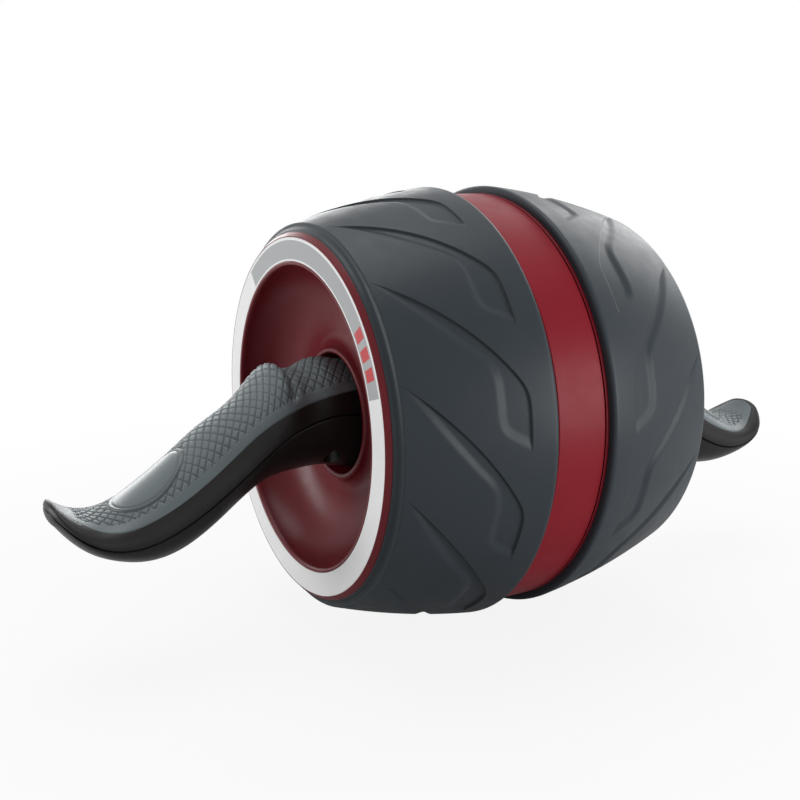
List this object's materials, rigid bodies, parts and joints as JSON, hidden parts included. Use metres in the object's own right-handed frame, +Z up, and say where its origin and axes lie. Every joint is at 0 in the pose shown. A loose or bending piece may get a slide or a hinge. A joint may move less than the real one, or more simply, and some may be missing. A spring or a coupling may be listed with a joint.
{
  "type": "ab wheel roller",
  "caption": "Wide ab roller wheel with crowned rubber treads, dished red hub with a wind-up spring, and drooping gripped handles on its axle.",
  "frame": {"origin": "wheel centre, on the axle, which is the centre of the whole roller's box", "axes": "+Y along the axle towards the right-hand handle, +Z up, +X the way it rolls out; the handles droop towards -Z"},
  "size_m": [0.19, 0.37, 0.19],
  "materials": {
    "red_shell": "satin gloss dark red",
    "red_band": "gloss red",
    "tread_rubber": "smooth dark slate rubber",
    "trim": "satin silver grey and white",
    "bearing_plastic": "acetal",
    "drum_plastic": "glass-filled nylon",
    "plated_steel": "zinc plated",
    "spring_steel": "blued spring steel",
    "axle_steel": "drawn tube",
    "handle_plastic": "fine-grain black",
    "grip_rubber": "knurled grey rubber"
  },
  "bodies": {
    "handles": {"axle": "axle_steel", "spring_arbor": "axle_steel", "arbor_pin": "plated_steel", "axle_pin_left": "plated_steel", "axle_pin_right": "plated_steel", "thrust_washer_left": "plated_steel", "thrust_washer_right": "plated_steel", "retaining_clip_left": "plated_steel", "retaining_clip_right": "plated_steel", "handle_upper_left": "handle_plastic", "handle_upper_right": "handle_plastic", "handle_lower_left": "handle_plastic", "handle_lower_right": "handle_plastic", "grip_left": "grip_rubber", "grip_right": "grip_rubber", "handle_screws_left": "plated_steel", "handle_screws_right": "plated_steel"},
    "wheel": {"hub_shell_left": "red_shell", "hub_shell_right": "red_shell", "tread_left": "tread_rubber", "tread_right": "tread_rubber", "centre_band": "red_band", "trim_ring_left": "trim", "trim_ring_right": "trim", "bushing_left": "bearing_plastic", "bushing_right": "bearing_plastic", "spring_case": "drum_plastic", "spring_cover": "drum_plastic", "cover_screws": "plated_steel", "hub_screws": "plated_steel", "power_spring": "spring_steel"}
  },
  "joints": [
    {"name": "wheel_spin", "type": "hinge", "parent": "handles", "child": "wheel", "pos_m": [0, 0, 0], "axis": [0, 1, 0], "range_deg": [0, 1080], "stiffness_Nm_per_rad": 0.39, "deforming": ["power_spring"]}
  ]
}
